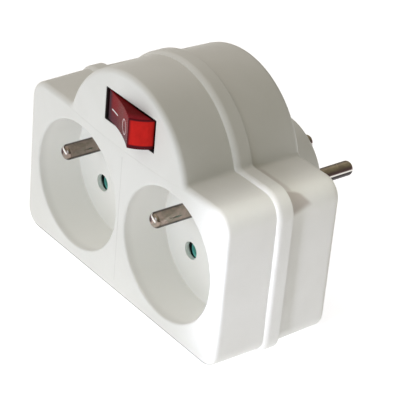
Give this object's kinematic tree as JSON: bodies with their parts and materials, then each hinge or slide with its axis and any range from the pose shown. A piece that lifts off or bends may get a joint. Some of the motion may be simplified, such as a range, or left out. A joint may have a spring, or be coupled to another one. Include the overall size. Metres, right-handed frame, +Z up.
{
  "type": "multi socket adapter",
  "caption": "White plug-in socket splitter with side-by-side round earthed outlets, a domed top with a red rocker switch, a raised parting band and a round plug with pins at the back.",
  "frame": {"origin": "centre of the plug boss's rear face, midway between the two plug pins", "axes": "+X to the right seen from the sockets' side, +Y out of the plug towards the wall, +Z up, towards the switch"},
  "size_m": [0.0966, 0.0847, 0.073],
  "materials": {
    "casing": "white satin moulding",
    "rocker": "red translucent moulding",
    "switch_plastic": "black moulding",
    "inner_plastic": "grey moulding",
    "shutter": "grey-green moulding",
    "pin_metal": "nickel plated",
    "contact_brass": "stamped sheet",
    "spring_steel": "drawn wire",
    "screw_steel": "zinc plated",
    "lamp_glass": "clear glass",
    "resistor_body": "lacquered",
    "wire_insulation": "sleeved wire"
  },
  "bodies": {
    "housing": {"front_cover": "casing", "rear_cover": "casing", "switch_housing": "switch_plastic", "switch_pivot_terminal": "contact_brass", "switch_fixed_terminal": "contact_brass", "neon_lamp": "lamp_glass", "lamp_resistor": "resistor_body", "lamp_lead": "wire_insulation", "shutter_spring_left": "spring_steel", "shutter_spring_right": "spring_steel", "shutter_retainer_left": "inner_plastic", "shutter_retainer_right": "inner_plastic", "socket_earth_pin_left": "pin_metal", "socket_earth_pin_right": "pin_metal", "plug_pin_left": "pin_metal", "plug_pin_right": "pin_metal", "earth_bar": "contact_brass", "plug_earth_sleeve": "contact_brass", "neutral_bar": "contact_brass", "line_bar": "contact_brass", "line_feed_strip": "contact_brass", "housing_screws": "screw_steel"},
    "rocker": {"rocker_button": "rocker", "rocker_plunger": "switch_plastic", "plunger_spring": "spring_steel"},
    "contact_lever": {"switch_contact_lever": "contact_brass"},
    "shutter_left": {"shutter_left": "shutter"},
    "shutter_right": {"shutter_right": "shutter"}
  },
  "joints": [
    {"name": "rocker_tilt", "type": "hinge", "parent": "housing", "child": "rocker", "pos_m": [0.0018, -0.0565, 0.03305], "axis": [0, 0, 1], "range_deg": [0, 36]},
    {"name": "contact_lever_tilt", "type": "hinge", "parent": "housing", "child": "contact_lever", "pos_m": [0.0018, -0.0448, 0.03305], "axis": [0, 0, 1], "range_deg": [-16, 0]},
    {"name": "shutter_left_slide", "type": "slide", "parent": "housing", "child": "shutter_left", "axis": [0.7071, 0, -0.7071], "range_m": [0, 0.0062], "stiffness_N_per_m": 80, "springref_m": -0.004, "deforming": ["shutter_spring_left"]},
    {"name": "shutter_right_slide", "type": "slide", "parent": "housing", "child": "shutter_right", "axis": [0.7071, 0, -0.7071], "range_m": [0, 0.0062], "stiffness_N_per_m": 80, "springref_m": -0.004, "deforming": ["shutter_spring_right"]}
  ],
  "couplings": [
    {"joint": "contact_lever_tilt", "follows": "rocker_tilt", "ratio": -0.44444}
  ]
}
